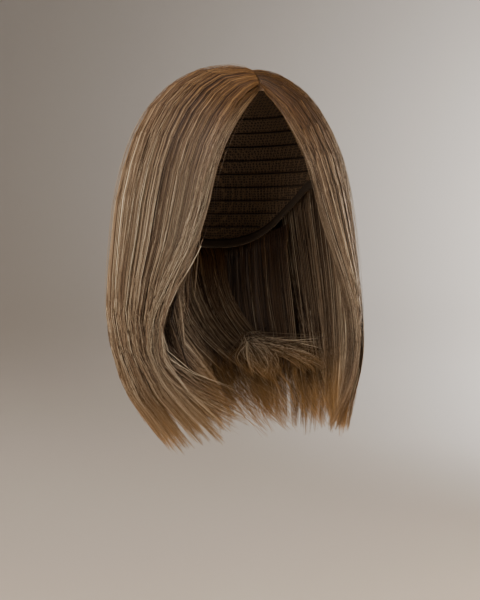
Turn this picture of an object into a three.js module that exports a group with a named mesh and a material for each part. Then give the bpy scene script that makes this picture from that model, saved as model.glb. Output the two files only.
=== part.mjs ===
// A straight, shoulder-length bob wig of real hair with a parting on top: a net cap with a sheer lace front,
// and the hair that is tied to it, in a right and a left fall, a back fall and a short layer at the nape.
// Millimetres, +Z up, the face opening towards -Y. The origin is inside the crown of the cap.
import * as THREE from "three";

// The inside of the cap, as half-axes of an egg whose top is at the origin.
const CAP_HALF_WIDTH = 76;
const CAP_HALF_LENGTH = 97;
const CAP_HALF_HEIGHT = 105;

// The cap's net, and the clear space that the hair keeps from it.
const CAP_WALL = 1.2;
const HAIR_GAP = 2.2;
const LEAST_HAIR = 2.5;

// The lace strip along the front hairline.
const LACE_END_AZIMUTH = 52;
const LACE_GAP = 0.5;

// Half the width of the parting, where the right and left falls meet on top.
const PART_HALF_WIDTH = 0.8;

// Locks of hair: how many from the face edge to the middle of the back, and how they stand out and end.
const LOCKS = 15;
const SIDE_LOCKS = 10;
const FALL_GAP = 0.002;
const ROOT_RIDGE = 0.8;
const END_RIDGE = 3.2;
const END_NOTCH = 0.07;
const END_VARIATION = 0.018;
const VARIATION_STEP = 2.4;
const THINNING_START = 0.85;
const LAST_WALL_SHARE = 0.35;

// The place across a fall where it passes the ear, and the turn of its section from there to the face edge.
const EAR_ACROSS = 0.45;
const EDGE_TURN = THREE.MathUtils.degToRad(62);

// How finely the solids are meshed.
const COLUMNS_PER_LOCK = 4;
const FALL_ROWS = 14;
const NAPE_LOCKS = 7;
const NAPE_ROWS = 7;
const CAP_COLUMNS = 48;
const CAP_ROWS = 9;
const LACE_COLUMNS = 20;
const LACE_ROWS = 2;

const HAIR_COLOUR = 0x6f5539;
const NET_COLOUR = 0x4a3826;
const LACE_COLOUR = 0xb9977a;

// A table with named columns: one object for each row of numbers.
function table(columns, ...rows) {
  const names = columns.split(" ");
  return rows.map((row) => Object.fromEntries(names.map((name, i) => [name, row[i]])));
}

// The cap's edge, from the front (azimuth 0) round to the nape (180), as heights from the crown.
// The lace carries on from the net's edge to the hairline.
const RIM = table(
  "azimuth netZ hairlineZ",
  [0, -13, -21],
  [20, -18, -28],
  [40, -37, -49],
  [60, -90, -91],
  [80, -112, -112],
  [100, -103, -103],
  [120, -122, -122],
  [140, -146, -146],
  [160, -156, -156],
  [180, -158, -158],
);

// The outer face of the hair, a row for each section from the parting to the ends. The edge is at the face
// and the side is the widest place; the walls are the hair's depth there. The right fall is fuller and
// curls further under.
const RIGHT_FALL = table(
  "edgeX edgeY edgeZ sideX sideY sideZ edgeWall sideWall",
  [PART_HALF_WIDTH, -59, -13, PART_HALF_WIDTH, -14, 9, 4, 7],
  [12, -64, -21, 42, -10, 3, 5, 12],
  [27, -70, -36, 73, -4, -16, 6, 18],
  [44, -74, -62, 94, 2, -46, 7, 24],
  [57, -75, -94, 106.5, 7, -81, 8, 28],
  [65, -74, -130, 115, 9, -118, 9, 28],
  [76, -71, -166, 119, 10, -155, 10, 26],
  [93, -64, -202, 122.5, 10, -192, 12, 24],
  [102, -56, -238, 123.5, 10, -229, 12, 22],
  [96, -53, -272, 116, 10, -267, 12, 19],
  [70, -56, -305, 99, 10, -307, 10, 14],
  [40, -62, -334, 60, 10, -354, 6, 7],
);
const LEFT_FALL = table(
  "edgeX edgeY edgeZ sideX sideY sideZ edgeWall sideWall",
  [PART_HALF_WIDTH, -59, -13, PART_HALF_WIDTH, -14, 6, 4, 6],
  [6, -65, -22, 30, -10, 0, 5, 10],
  [19, -75, -37, 60, -4, -18, 6, 15],
  [31, -83, -62, 82, 2, -47, 7, 21],
  [45, -83, -94, 98, 7, -81, 8, 26],
  [58, -78, -130, 106, 9, -118, 9, 27],
  [72, -72, -166, 110.5, 10, -155, 10, 25],
  [87, -64, -202, 114, 10, -192, 12, 24],
  [96, -56, -238, 115.5, 10, -229, 12, 22],
  [95, -53, -272, 114.5, 10, -266, 12, 19],
  [85, -54, -302, 106, 10, -301, 10, 14],
  [68, -57, -326, 101, 10, -334, 6, 7],
);

// The same sections at the middle of the back.
const BACK_FALL = table(
  "backY backZ backWall",
  [30, 6, 7],
  [60, -8, 14],
  [86, -32, 20],
  [105, -64, 25],
  [116, -98, 26],
  [121, -134, 24],
  [123, -169, 22],
  [121, -204, 20],
  [117, -238, 18],
  [110, -271, 16],
  [101, -304, 12],
  [92, -338, 6],
);

// The short layer under the back hair, from the cap's edge at the nape to its ends.
const NAPE = table(
  "sideX sideY sideZ backY backZ wall",
  [62, 44, -150, 88, -163, 5],
  [67, 42, -186, 93, -192, 7],
  [71, 40, -222, 95, -224, 8],
  [73, 38, -258, 93, -258, 7],
  [70, 36, -298, 84, -296, 3],
);

// A column of a table at a place from 0 (first row) to 1 (last row), on a smooth curve through the rows.
function along(rows, column, place) {
  const last = rows.length - 1;
  const reached = THREE.MathUtils.clamp(place, 0, 1) * last;
  const i = Math.min(Math.floor(reached), last - 1);
  const [a, b, c, d] = [i - 1, i, i + 1, i + 2].map((k) => rows[THREE.MathUtils.clamp(k, 0, last)][column]);
  const f = reached - i;
  return b + 0.5 * f * (c - a + f * (2 * a - 5 * b + 4 * c - d + f * (3 * (b - c) + d - a)));
}

// A closed solid between an outer and an inner face, both functions of (across, down) from 0 to 1.
// A wall that wraps has no side walls, and one with a pole starts at a single point.
function wallSolid({ columns, rows, outer, inner, wraps = false, pole = false }) {
  const points = [];
  for (const face of [outer, inner])
    for (let j = 0; j <= rows; j++)
      for (let i = 0; i <= columns; i++) points.push(face(i / columns, j / rows));

  const corners = (start) => (i, j) => {
    if (pole && j === 0) return start;
    return start + j * (columns + 1) + (wraps ? i % columns : i);
  };
  const out = corners(0);
  const into = corners((rows + 1) * (columns + 1));
  const triangles = [];
  const quad = (a, b, c, d) => {
    if (a !== b) triangles.push(a, b, c);
    if (c !== d) triangles.push(a, c, d);
  };
  for (let j = 0; j < rows; j++)
    for (let i = 0; i < columns; i++) {
      quad(out(i, j), out(i + 1, j), out(i + 1, j + 1), out(i, j + 1));
      quad(into(i + 1, j), into(i, j), into(i, j + 1), into(i + 1, j + 1));
    }
  for (let i = 0; i < columns; i++) {
    quad(out(i, rows), out(i + 1, rows), into(i + 1, rows), into(i, rows));
    if (!pole) quad(out(i + 1, 0), out(i, 0), into(i, 0), into(i + 1, 0));
  }
  for (let j = 0; j < rows && !wraps; j++) {
    quad(out(0, j), out(0, j + 1), into(0, j + 1), into(0, j));
    quad(out(columns, j + 1), out(columns, j), into(columns, j), into(columns, j + 1));
  }
  const geometry = new THREE.BufferGeometry().setFromPoints(points);
  geometry.setIndex(triangles);
  geometry.computeVertexNormals();
  return geometry;
}

// A point of the cap's egg at an azimuth from the front (degrees) and a height from the crown, moved out by
// offset.
function capPoint(azimuth, z, offset) {
  const turn = THREE.MathUtils.degToRad(azimuth);
  const lift = 1 + z / CAP_HALF_HEIGHT;
  const spread = Math.sqrt(Math.max(0, 1 - lift * lift));
  return new THREE.Vector3(
    (CAP_HALF_WIDTH + offset) * spread * Math.sin(turn),
    -(CAP_HALF_LENGTH + offset) * spread * Math.cos(turn),
    (CAP_HALF_HEIGHT + offset) * lift - CAP_HALF_HEIGHT,
  );
}

// The height of the cap's edge, or of the hairline, at an azimuth on either side.
function rimHeight(column, azimuth) {
  return along(RIM, column, Math.abs(azimuth) / RIM.at(-1).azimuth);
}

// The net cap: a dome from the crown to its edge, open below and at the face.
function capGeometry() {
  const face = (offset) => (across, down) => {
    const azimuth = 180 - 360 * across;
    const edge = Math.acos(1 + rimHeight("netZ", azimuth) / CAP_HALF_HEIGHT);
    return capPoint(azimuth, CAP_HALF_HEIGHT * (Math.cos(down * edge) - 1), offset);
  };
  return wallSolid({
    columns: CAP_COLUMNS,
    rows: CAP_ROWS,
    outer: face(CAP_WALL),
    inner: face(0),
    wraps: true,
    pole: true,
  });
}

// The lace front: a strip of the same shell from the net's edge down to the hairline.
function laceGeometry() {
  const face = (offset) => (across, down) => {
    const azimuth = LACE_END_AZIMUTH * (1 - 2 * across);
    const start = rimHeight("netZ", azimuth) - LACE_GAP;
    return capPoint(azimuth, THREE.MathUtils.lerp(start, rimHeight("hairlineZ", azimuth), down), offset);
  };
  return wallSolid({ columns: LACE_COLUMNS, rows: LACE_ROWS, outer: face(CAP_WALL), inner: face(0) });
}

// Moves a point that is too close to the cap straight out from the egg's middle, to the given distance.
function keepOffCap(point, distance) {
  const middle = new THREE.Vector3(0, 0, -CAP_HALF_HEIGHT);
  const arm = point.clone().sub(middle);
  const depth = Math.hypot(
    arm.x / (CAP_HALF_WIDTH + distance),
    arm.y / (CAP_HALF_LENGTH + distance),
    arm.z / (CAP_HALF_HEIGHT + distance),
  );
  return depth < 1 ? middle.addScaledVector(arm, 1 / depth) : point;
}

// A section's curve: an arc from the face edge to the side, then a quarter of an ellipse to the back.
// pull is the share of the way to the edge or back measured sideways, and reach the share from front to back.
function sectionBlend(across) {
  if (across < EAR_ACROSS) {
    const turn = EDGE_TURN * (1 - across / EAR_ACROSS);
    return {
      end: "edge",
      pull: (1 - Math.cos(turn)) / (1 - Math.cos(EDGE_TURN)),
      reach: Math.sin(turn) / Math.sin(EDGE_TURN),
    };
  }
  const turn = ((across - EAR_ACROSS) / (1 - EAR_ACROSS)) * (Math.PI / 2);
  return { end: "back", pull: 1 - Math.cos(turn), reach: Math.sin(turn) };
}

// A fall's value at a place: the side's, blended towards the face edge's or the back's by the given share.
function blended(fall, end, quantity, down, share) {
  const side = along(fall, "side" + quantity, down);
  return THREE.MathUtils.lerp(side, along(end === "edge" ? fall : BACK_FALL, end + quantity, down), share);
}

// The smooth outer face of a fall on the +X side, before its locks are raised.
function smoothFace(fall, across, down) {
  const { end, pull, reach } = sectionBlend(across);
  const x = end === "edge" ? blended(fall, end, "X", down, pull) : along(fall, "sideX", down) * (1 - pull);
  return new THREE.Vector3(x, blended(fall, end, "Y", down, reach), blended(fall, end, "Z", down, pull));
}

// The hair's depth at a place.
function hairDepth(fall, across, down) {
  const { end, pull } = sectionBlend(across);
  return blended(fall, end, "Wall", down, pull);
}

// The direction out of the smooth face.
function outward(fall, across, down) {
  const step = 0.004;
  const [left, right] = [Math.max(0, across - step), Math.min(1, across + step)];
  const [up, low] = [Math.max(0, down - step), Math.min(1, down + step)];
  const sideways = smoothFace(fall, right, down).sub(smoothFace(fall, left, down));
  const downwards = smoothFace(fall, across, low).sub(smoothFace(fall, across, up));
  return downwards.cross(sideways).normalize();
}

// How far a place is up its lock's crest: 0 where two locks meet and 1 in the middle of one.
function crest(across, locks) {
  return 0.5 - 0.5 * Math.cos(2 * Math.PI * locks * across);
}

// The place down a lock where it ends: furthest at its crest, and a little different from lock to lock.
function endOf(across, locks) {
  const number = Math.min(Math.floor(across * locks), locks - 1);
  const variation = END_VARIATION * (Math.sin(VARIATION_STEP * number + 1) - 1);
  return 1 + variation - END_NOTCH * (1 - crest(across, locks));
}

// The faces of the hair on one side (1 for the wearer's left, -1 for the right), as functions of across, from
// the face edge (0) to the middle of the back (1), and share, from the parting (0) to the ends (1).
function hairFaces(side) {
  const fall = side > 0 ? LEFT_FALL : RIGHT_FALL;
  const clear = CAP_WALL + HAIR_GAP;
  const outer = (across, share) => {
    const down = share * endOf(across, LOCKS);
    const ridge = THREE.MathUtils.lerp(ROOT_RIDGE, END_RIDGE, share) * Math.min(1, share * FALL_ROWS);
    const point = smoothFace(fall, across, down);
    point.addScaledVector(outward(fall, across, down), ridge * (crest(across, LOCKS) - 1));
    point.x *= side;
    return keepOffCap(point, clear + LEAST_HAIR);
  };
  const inner = (across, share) => {
    const down = share * endOf(across, LOCKS);
    const thinning = THREE.MathUtils.smoothstep(share, THINNING_START, 1);
    const taper = THREE.MathUtils.lerp(1, LAST_WALL_SHARE, thinning);
    const depth = hairDepth(fall, across, down) * taper + END_RIDGE * share * (1 - taper);
    const face = smoothFace(fall, across, down);
    const point = face.clone().addScaledVector(outward(fall, across, down), -depth);
    point.x = side * Math.max(point.x, Math.min(face.x, PART_HALF_WIDTH));
    return keepOffCap(point, clear);
  };
  return { outer, inner };
}

// A side fall: the hair from the face edge to behind the ear.
function sideFallGeometry(side) {
  const { outer, inner } = hairFaces(side);
  const width = SIDE_LOCKS / LOCKS - FALL_GAP;
  const turned = (across) => width * (side > 0 ? 1 - across : across);
  return wallSolid({
    columns: SIDE_LOCKS * COLUMNS_PER_LOCK,
    rows: FALL_ROWS,
    outer: (across, down) => outer(turned(across), down),
    inner: (across, down) => inner(turned(across), down),
  });
}

// The back fall: the hair between the two side falls, round the back, split at the parting on top.
function backFallGeometry() {
  const start = SIDE_LOCKS / LOCKS + FALL_GAP;
  const faces = { right: hairFaces(-1), left: hairFaces(1) };
  const face = (name) => (across, down) =>
    across < 0.5
      ? faces.right[name](THREE.MathUtils.lerp(start, 1, 2 * across), down)
      : faces.left[name](THREE.MathUtils.lerp(1, start, 2 * across - 1), down);
  return wallSolid({
    columns: 2 * (LOCKS - SIDE_LOCKS) * COLUMNS_PER_LOCK,
    rows: FALL_ROWS,
    outer: face("outer"),
    inner: face("inner"),
  });
}

// The nape layer: a short curved fall from the cap's edge, inside the back fall.
function napeGeometry() {
  const face = (isOuter) => (across, share) => {
    const turn = Math.PI * across;
    const down = share * endOf(across, NAPE_LOCKS);
    const at = (column) => along(NAPE, column, down);
    const ridge = THREE.MathUtils.lerp(ROOT_RIDGE, END_RIDGE, share) * (crest(across, NAPE_LOCKS) - 1);
    const offset = isOuter ? ridge : -at("wall");
    const point = new THREE.Vector3(
      -(at("sideX") + offset) * Math.cos(turn),
      at("sideY") + (at("backY") + offset - at("sideY")) * Math.sin(turn),
      THREE.MathUtils.lerp(at("sideZ"), at("backZ"), Math.sin(turn)),
    );
    return keepOffCap(point, CAP_WALL + HAIR_GAP + (isOuter ? LEAST_HAIR : 0));
  };
  return wallSolid({
    columns: NAPE_LOCKS * COLUMNS_PER_LOCK,
    rows: NAPE_ROWS,
    outer: face(true),
    inner: face(false),
  });
}

function piece(name, geometry, color, roughness) {
  const mesh = new THREE.Mesh(geometry, new THREE.MeshStandardMaterial({ color, roughness, metalness: 0 }));
  mesh.name = name;
  return mesh;
}

const wig = new THREE.Group();
wig.add(
  piece("cap", capGeometry(), NET_COLOUR, 0.9),
  piece("lace_front", laceGeometry(), LACE_COLOUR, 0.8),
  piece("hair_right", sideFallGeometry(-1), HAIR_COLOUR, 0.45),
  piece("hair_left", sideFallGeometry(1), HAIR_COLOUR, 0.45),
  piece("hair_back", backFallGeometry(), HAIR_COLOUR, 0.45),
  piece("hair_nape", napeGeometry(), HAIR_COLOUR, 0.5),
);

export default wig;
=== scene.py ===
# %% [markdown]
# # A straight bob wig of real hair
#
# The solid model gives the wig its cap, its lace front and its falls of hair as plain closed forms.
# This lesson dresses them: every fall is combed out of thousands of fine strands, the cap gets its net
# and its rows of sewn hair, and the lace its fine mesh. The solids load as a fixed frame. Nothing here
# moves or resizes them, and a piece that takes a solid's place hides that solid.

# %% Load the frame
import math

import bmesh
import bpy
import numpy as np
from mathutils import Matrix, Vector


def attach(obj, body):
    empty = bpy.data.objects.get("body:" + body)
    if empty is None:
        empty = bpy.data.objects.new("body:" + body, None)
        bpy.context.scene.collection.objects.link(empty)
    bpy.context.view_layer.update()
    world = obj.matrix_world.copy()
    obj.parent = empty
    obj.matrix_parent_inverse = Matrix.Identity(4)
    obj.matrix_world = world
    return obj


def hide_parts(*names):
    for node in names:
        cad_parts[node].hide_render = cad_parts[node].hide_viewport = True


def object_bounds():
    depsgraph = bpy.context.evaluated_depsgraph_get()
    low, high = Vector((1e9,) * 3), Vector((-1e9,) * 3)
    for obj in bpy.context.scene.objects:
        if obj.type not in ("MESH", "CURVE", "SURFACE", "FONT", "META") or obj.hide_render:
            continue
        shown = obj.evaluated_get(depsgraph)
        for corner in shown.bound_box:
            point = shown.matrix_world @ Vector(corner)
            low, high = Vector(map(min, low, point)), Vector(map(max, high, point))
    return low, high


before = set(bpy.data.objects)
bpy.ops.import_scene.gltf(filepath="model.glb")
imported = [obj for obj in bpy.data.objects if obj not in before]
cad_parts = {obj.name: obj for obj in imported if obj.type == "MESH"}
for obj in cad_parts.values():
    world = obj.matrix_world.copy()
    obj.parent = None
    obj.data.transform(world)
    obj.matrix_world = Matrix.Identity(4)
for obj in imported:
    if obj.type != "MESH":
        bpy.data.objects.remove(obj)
cad_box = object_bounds()
print("solids:", sorted(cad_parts))
print("box in metres:", [tuple(round(v, 3) for v in corner) for corner in cad_box])

# %% [markdown]
# Node trees read badly as long lists of links, so one small class wraps a socket. Sums on it add the
# Math nodes that work them out, so that `1 - wire * 2` reads as it would on paper. Its `node` method
# makes any other node in the same tree: the settings are set first, because they can change which
# sockets a node has, and then the inputs, which can be plain values or other wires.

# %% A wire between nodes
class Wire:
    """A socket of a node tree that can be used in sums, such as 1 - wire * 2."""

    def __init__(self, socket):
        self.socket = socket
        self.tree = socket.id_data

    def node(self, kind, settings=None, inputs=None, output=0):
        return make_node(self.tree, kind, settings, inputs, output)

    def maths(self, operation, *values):
        return self.node("ShaderNodeMath", {"operation": operation}, dict(enumerate(values)))

    def __add__(self, other):
        return self.maths("ADD", self, other)

    def __radd__(self, other):
        return self.maths("ADD", other, self)

    def __sub__(self, other):
        return self.maths("SUBTRACT", self, other)

    def __rsub__(self, other):
        return self.maths("SUBTRACT", other, self)

    def __mul__(self, other):
        return self.maths("MULTIPLY", self, other)

    def __rmul__(self, other):
        return self.maths("MULTIPLY", other, self)

    def __truediv__(self, other):
        return self.maths("DIVIDE", self, other)

    def __pow__(self, other):
        return self.maths("POWER", self, other)

    def step(self, low, high, start=0.0, end=1.0):
        """Goes smoothly from start to end as the wire goes from low to high."""
        settings = {"interpolation_type": "SMOOTHSTEP"}
        inputs = {0: self, 1: low, 2: high, 3: start, 4: end}
        return self.node("ShaderNodeMapRange", settings, inputs)

    def limited(self, low, high):
        """The wire kept between two numbers."""
        return self.node("ShaderNodeClamp", None, {0: self, 1: low, 2: high})


def make_node(tree, kind, settings=None, inputs=None, output=0):
    """Adds a node with its settings and inputs and returns one of its outputs as a wire."""
    made = tree.nodes.new(kind)
    for name, value in (settings or {}).items():
        if name == "stops":
            set_stops(made.color_ramp, value)
        else:
            setattr(made, name, value)
    for key, value in (inputs or {}).items():
        if isinstance(value, Wire):
            tree.links.new(value.socket, made.inputs[key])
        else:
            made.inputs[key].default_value = value
    return Wire(made.outputs[output])


def set_stops(ramp, stops):
    """Gives a colour ramp its stops, as (place, colour) pairs."""
    while len(ramp.elements) < len(stops):
        ramp.elements.new(0.5)
    for element, (place, shade) in zip(ramp.elements, stops):
        element.position = place
        element.color = shade


# %% [markdown]
# Colour pickers give a colour as six figures on the eye's own scale, while shaders work in linear
# light, so one function turns the first into the second. A material starts from the Principled shader
# that Blender puts in it, and wires are plugged into that shader's sockets by their names.

# %% Colours and materials
def colour(code):
    """A linear colour from a six-figure code as colour pickers give it."""
    parts = [int(code[i : i + 2], 16) / 255 for i in (0, 2, 4)]
    linear = [p / 12.92 if p <= 0.04045 else ((p + 0.055) / 1.055) ** 2.4 for p in parts]
    return (*linear, 1.0)


def mix_colours(factor, first, second, blend="MIX"):
    """Mixes two colours by a wire."""
    settings = {"data_type": "RGBA", "blend_type": blend}
    return factor.node("ShaderNodeMix", settings, {0: factor, 6: first, 7: second}, output=2)


def new_material(name):
    """A new material, its node tree and its Principled shader."""
    made = bpy.data.materials.new(name)
    made.use_nodes = True
    return made, made.node_tree, made.node_tree.nodes["Principled BSDF"]


def plug(tree, shader, **links):
    """Links wires to a shader's sockets, or sets their values; underscores stand for spaces."""
    for name, value in links.items():
        socket = shader.inputs[name.replace("_", " ")]
        if isinstance(value, Wire):
            tree.links.new(value.socket, socket)
        else:
            socket.default_value = value


print("a middle grey in linear light:", round(colour("808080")[0], 3))

# %% [markdown]
# A long lens at portrait distance keeps the true widths of the hair; a short one close by would swell
# what is near. The camera stands a little to the wearer's right and looks level at the lower half of
# the falls, so the parting, the face opening and the nape all show. The lens follows from the scale of
# the picture: how many metres one pixel covers at the wig.

# %% Camera
MM = 0.001
CAMERA_DISTANCE = 1.70
CAMERA_AZIMUTH = math.radians(-18)
CAMERA_HEIGHT = -0.209
PICTURE_HEIGHT_PX = 600
METRES_PER_PX = 0.93 * MM
AXIS_OFFSET_PX = 1.0
SENSOR_MM = 36.0

camera_data = bpy.data.cameras.new("camera")
camera_data.sensor_width = SENSOR_MM
camera_data.lens = SENSOR_MM * CAMERA_DISTANCE / METRES_PER_PX / PICTURE_HEIGHT_PX
camera_data.shift_x = -AXIS_OFFSET_PX / PICTURE_HEIGHT_PX
camera = bpy.data.objects.new("camera", camera_data)
bpy.context.scene.collection.objects.link(camera)
towards_camera = Vector((math.sin(CAMERA_AZIMUTH), -math.cos(CAMERA_AZIMUTH), 0))
camera.location = towards_camera * CAMERA_DISTANCE + Vector((0, 0, CAMERA_HEIGHT))
camera.rotation_mode = "QUATERNION"
camera.rotation_quaternion = (-towards_camera).to_track_quat("-Z", "Y")
bpy.context.scene.camera = camera
print("camera lens:", round(camera_data.lens, 1), "mm")

# %% [markdown]
# A studio hangs a wide roll of paper that bends from the floor up into a wall. A flat plane would show
# its edge, so here the paper is one turned surface that goes all the way round, and the wig has the
# same calm surroundings from every side. Its colour carries painted shade: paler on the floor, darker up
# the wall.

# %% Studio cove
FLOOR_Z = -0.72
COVE_RADIUS = 3.4
COVE_BEND = 1.9
COVE_TOP = 3.2
COVE_STEPS = 96
COVE_MIDDLE = 0.02
COVE_FLAT = 1.0
BEND_DEGREES = range(0, 91, 9)
PAINTED_SHADE_HEIGHT = 0.5


def add_mesh(name, points, faces):
    """A smooth mesh object from lists of points and faces, at the origin."""
    mesh = bpy.data.meshes.new(name)
    mesh.from_pydata([tuple(p) for p in points], [], [tuple(f) for f in faces])
    mesh.polygons.foreach_set("use_smooth", [True] * len(mesh.polygons))
    mesh.update()
    made = bpy.data.objects.new(name, mesh)
    bpy.context.scene.collection.objects.link(made)
    return made


def quads(a, b, c, d):
    """Four-sided faces from four arrays of corner numbers."""
    return np.stack([a, b, c, d], axis=-1).reshape(-1, 4)


def cove_profile():
    """Radius and height along the cove, from the middle of the floor to the top of the wall."""
    profile = [(COVE_MIDDLE, FLOOR_Z), (COVE_FLAT, FLOOR_Z)]
    for turn in map(math.radians, BEND_DEGREES):
        radius = COVE_RADIUS - COVE_BEND * (1 - math.sin(turn))
        profile.append((radius, FLOOR_Z + COVE_BEND * (1 - math.cos(turn))))
    return [*profile, (COVE_RADIUS, COVE_TOP)]


def add_cove():
    """The floor and wall as one turned surface."""
    profile = cove_profile()
    turns = [2 * math.pi * k / COVE_STEPS for k in range(COVE_STEPS)]
    points = [(r * math.cos(a), r * math.sin(a), z) for r, z in profile for a in turns]
    ring = np.arange(len(points)).reshape(-1, COVE_STEPS)
    ring = np.concatenate([ring, ring[:, :1]], axis=1)
    faces = quads(ring[:-1, :-1], ring[1:, :-1], ring[1:, 1:], ring[:-1, 1:])
    made = add_mesh("cove", points, [*faces.tolist(), range(COVE_STEPS)])
    material, tree, shader = new_material("studio_wall")
    place = make_node(tree, "ShaderNodeTexCoord", None, None, "Object")
    height = place.node("ShaderNodeSeparateXYZ", None, {0: place}, "Z")
    # Painted shade: the paper darkens from the pale floor up to the wall.
    painted_wall_shade = height.step(FLOOR_Z, FLOOR_Z + PAINTED_SHADE_HEIGHT)
    plug(tree, shader, Base_Color=mix_colours(painted_wall_shade, colour("c6c5c4"), colour("918e8b")), Roughness=0.9)
    made.data.materials.append(material)
    return made


add_cove()
print("cove:", COVE_RADIUS, "m in radius, floor at", FLOOR_Z, "m")

# %% [markdown]
# Broad light from the front shows the streaks in hair, and narrow light from behind draws its edge. So
# the key and fill lamps are large and soft, a weak one hangs overhead, and two smaller, warm ones stand
# behind, one for each edge. The last lamp faces away from the camera and a little down, and lights only
# the studio behind. The world adds a little even light to the shadows.

# %% Lamps: azimuth, elevation, distance, size, watts and tint
LAMPS = {
    "key_lamp": (-45, 30, 2.0, 1.3, 52, "fff8f0"),
    "fill_lamp": (45, 5, 1.8, 0.9, 21, "fffaf6"),
    "top_lamp": (0, 80, 2.0, 1.0, 10, "fff4e6"),
    "right_rim_lamp": (-125, 20, 2.0, 0.7, 31, "ffd5a2"),
    "left_rim_lamp": (115, 8, 2.0, 0.7, 24, "ffd5a2"),
    "wall_lamp": (122, 8, 2.5, 1.0, 125, "fffaf4"),
}
WALL_LAMP_SPREAD = math.radians(130)
WALL_LAMP_TILT = 0.45
WORLD_STRENGTH = 0.35


def add_lamp(name, azimuth, elevation, distance, size, power, tint):
    """A square soft lamp that faces the middle of the wig."""
    middle = (cad_box[0] + cad_box[1]) / 2
    a, e = math.radians(azimuth), math.radians(elevation)
    way = Vector((math.sin(a) * math.cos(e), -math.cos(a) * math.cos(e), math.sin(e)))
    data = bpy.data.lights.new(name, "AREA")
    data.size = size
    data.energy = power
    data.color = colour(tint)[:3]
    lamp = bpy.data.objects.new(name, data)
    lamp.location = middle + way * distance
    lamp.rotation_mode = "QUATERNION"
    lamp.rotation_quaternion = (-way).to_track_quat("-Z", "Y")
    bpy.context.scene.collection.objects.link(lamp)
    return lamp


lamps = {name: add_lamp(name, *values) for name, values in LAMPS.items()}
back_of_lamp = towards_camera + Vector((0, 0, WALL_LAMP_TILT))
lamps["wall_lamp"].data.spread = WALL_LAMP_SPREAD
lamps["wall_lamp"].rotation_quaternion = back_of_lamp.to_track_quat("Z", "Y")
world = bpy.data.worlds.new("studio")
world.use_nodes = True
sky = world.node_tree.nodes["Background"]
sky.inputs["Color"].default_value = colour("cfc6bd")
sky.inputs["Strength"].default_value = WORLD_STRENGTH
bpy.context.scene.world = world
print("lamps:", sorted(lamps))

# %% [markdown]
# Hair could be sculpted lock by lock, but then no number says where it is. Here it all follows one set
# of sections, the same ones that shape the solids. Each row is a level from the parting down to the
# ends. Its columns say where the hair's outer face is at the face edge, at the widest place of the side
# and at the middle of the back, and how deep the hair is there, in millimetres.

# %% Sections of the hair
PARTING_HALF_MM = 0.8


def table(columns, *rows):
    """Columns of a table by name, with the rows' millimetres turned to metres."""
    return {name: np.array(values, float) * MM for name, values in zip(columns.split(), zip(*rows))}


RIGHT_FALL = table(
    "edgeX edgeY edgeZ sideX sideY sideZ edgeWall sideWall",
    [PARTING_HALF_MM, -59, -13, PARTING_HALF_MM, -14, 9, 4, 7],
    [12, -64, -21, 42, -10, 3, 5, 12],
    [27, -70, -36, 73, -4, -16, 6, 18],
    [44, -74, -62, 94, 2, -46, 7, 24],
    [57, -75, -94, 106.5, 7, -81, 8, 28],
    [65, -74, -130, 115, 9, -118, 9, 28],
    [76, -71, -166, 119, 10, -155, 10, 26],
    [93, -64, -202, 122.5, 10, -192, 12, 24],
    [102, -56, -238, 123.5, 10, -229, 12, 22],
    [96, -53, -272, 116, 10, -267, 12, 19],
    [70, -56, -305, 99, 10, -307, 10, 14],
    [40, -62, -334, 60, 10, -354, 6, 7],
)
LEFT_FALL = table(
    "edgeX edgeY edgeZ sideX sideY sideZ edgeWall sideWall",
    [PARTING_HALF_MM, -59, -13, PARTING_HALF_MM, -14, 6, 4, 6],
    [6, -65, -22, 30, -10, 0, 5, 10],
    [19, -75, -37, 60, -4, -18, 6, 15],
    [31, -83, -62, 82, 2, -47, 7, 21],
    [45, -83, -94, 98, 7, -81, 8, 26],
    [58, -78, -130, 106, 9, -118, 9, 27],
    [72, -72, -166, 110.5, 10, -155, 10, 25],
    [87, -64, -202, 114, 10, -192, 12, 24],
    [96, -56, -238, 115.5, 10, -229, 12, 22],
    [95, -53, -272, 114.5, 10, -266, 12, 19],
    [85, -54, -302, 106, 10, -301, 10, 14],
    [68, -57, -326, 101, 10, -334, 6, 7],
)
BACK_FALL = table(
    "backY backZ backWall",
    [30, 6, 7],
    [60, -8, 14],
    [86, -32, 20],
    [105, -64, 25],
    [116, -98, 26],
    [121, -134, 24],
    [123, -169, 22],
    [121, -204, 20],
    [117, -238, 18],
    [110, -271, 16],
    [101, -304, 12],
    [92, -338, 6],
)
NAPE = table(
    "sideX sideY sideZ backY backZ wall",
    [60, 46, -132, 86, -148, 3],
    [62, 44, -150, 88, -163, 5],
    [67, 42, -186, 93, -192, 7],
    [71, 40, -222, 95, -224, 8],
    [73, 38, -258, 93, -258, 7],
    [70, 36, -298, 84, -296, 3],
)
print("hair sections:", len(BACK_FALL["backY"]), "levels, parting to ends")

# %% [markdown]
# Between its rows a column follows a smooth curve through all of them, which gives any level. Across a
# level the hair runs in two arcs: from the face edge to the widest place, near the ear, and from there
# round to the middle of the back. The direction out of the hair comes from two short steps along its
# face. Where the hair would sink into the cap, an egg that is cut off below, it is moved straight out
# of it.

# %% Curves through the sections
EAR_ACROSS = 0.45
EDGE_TURN = math.radians(62)
OUTWARD_STEP = 0.004
CAP_HALF = np.array([76, 97, 105]) * MM


def along(column, place):
    """A column's value at places from 0 (first row) to 1 (last row); past that it runs on straight."""
    last = len(column) - 1
    reached = np.clip(place, 0, 1) * last
    i = np.minimum(reached.astype(int), last - 1)
    a, b, c, d = (column[np.clip(i + k, 0, last)] for k in (-1, 0, 1, 2))
    f = reached - i
    beyond = np.maximum(place - 1, 0) * last * (column[-1] - column[-2])
    return b + 0.5 * f * (c - a + f * (2 * a - 5 * b + 4 * c - d + f * (3 * (b - c) + d - a))) + beyond


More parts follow.
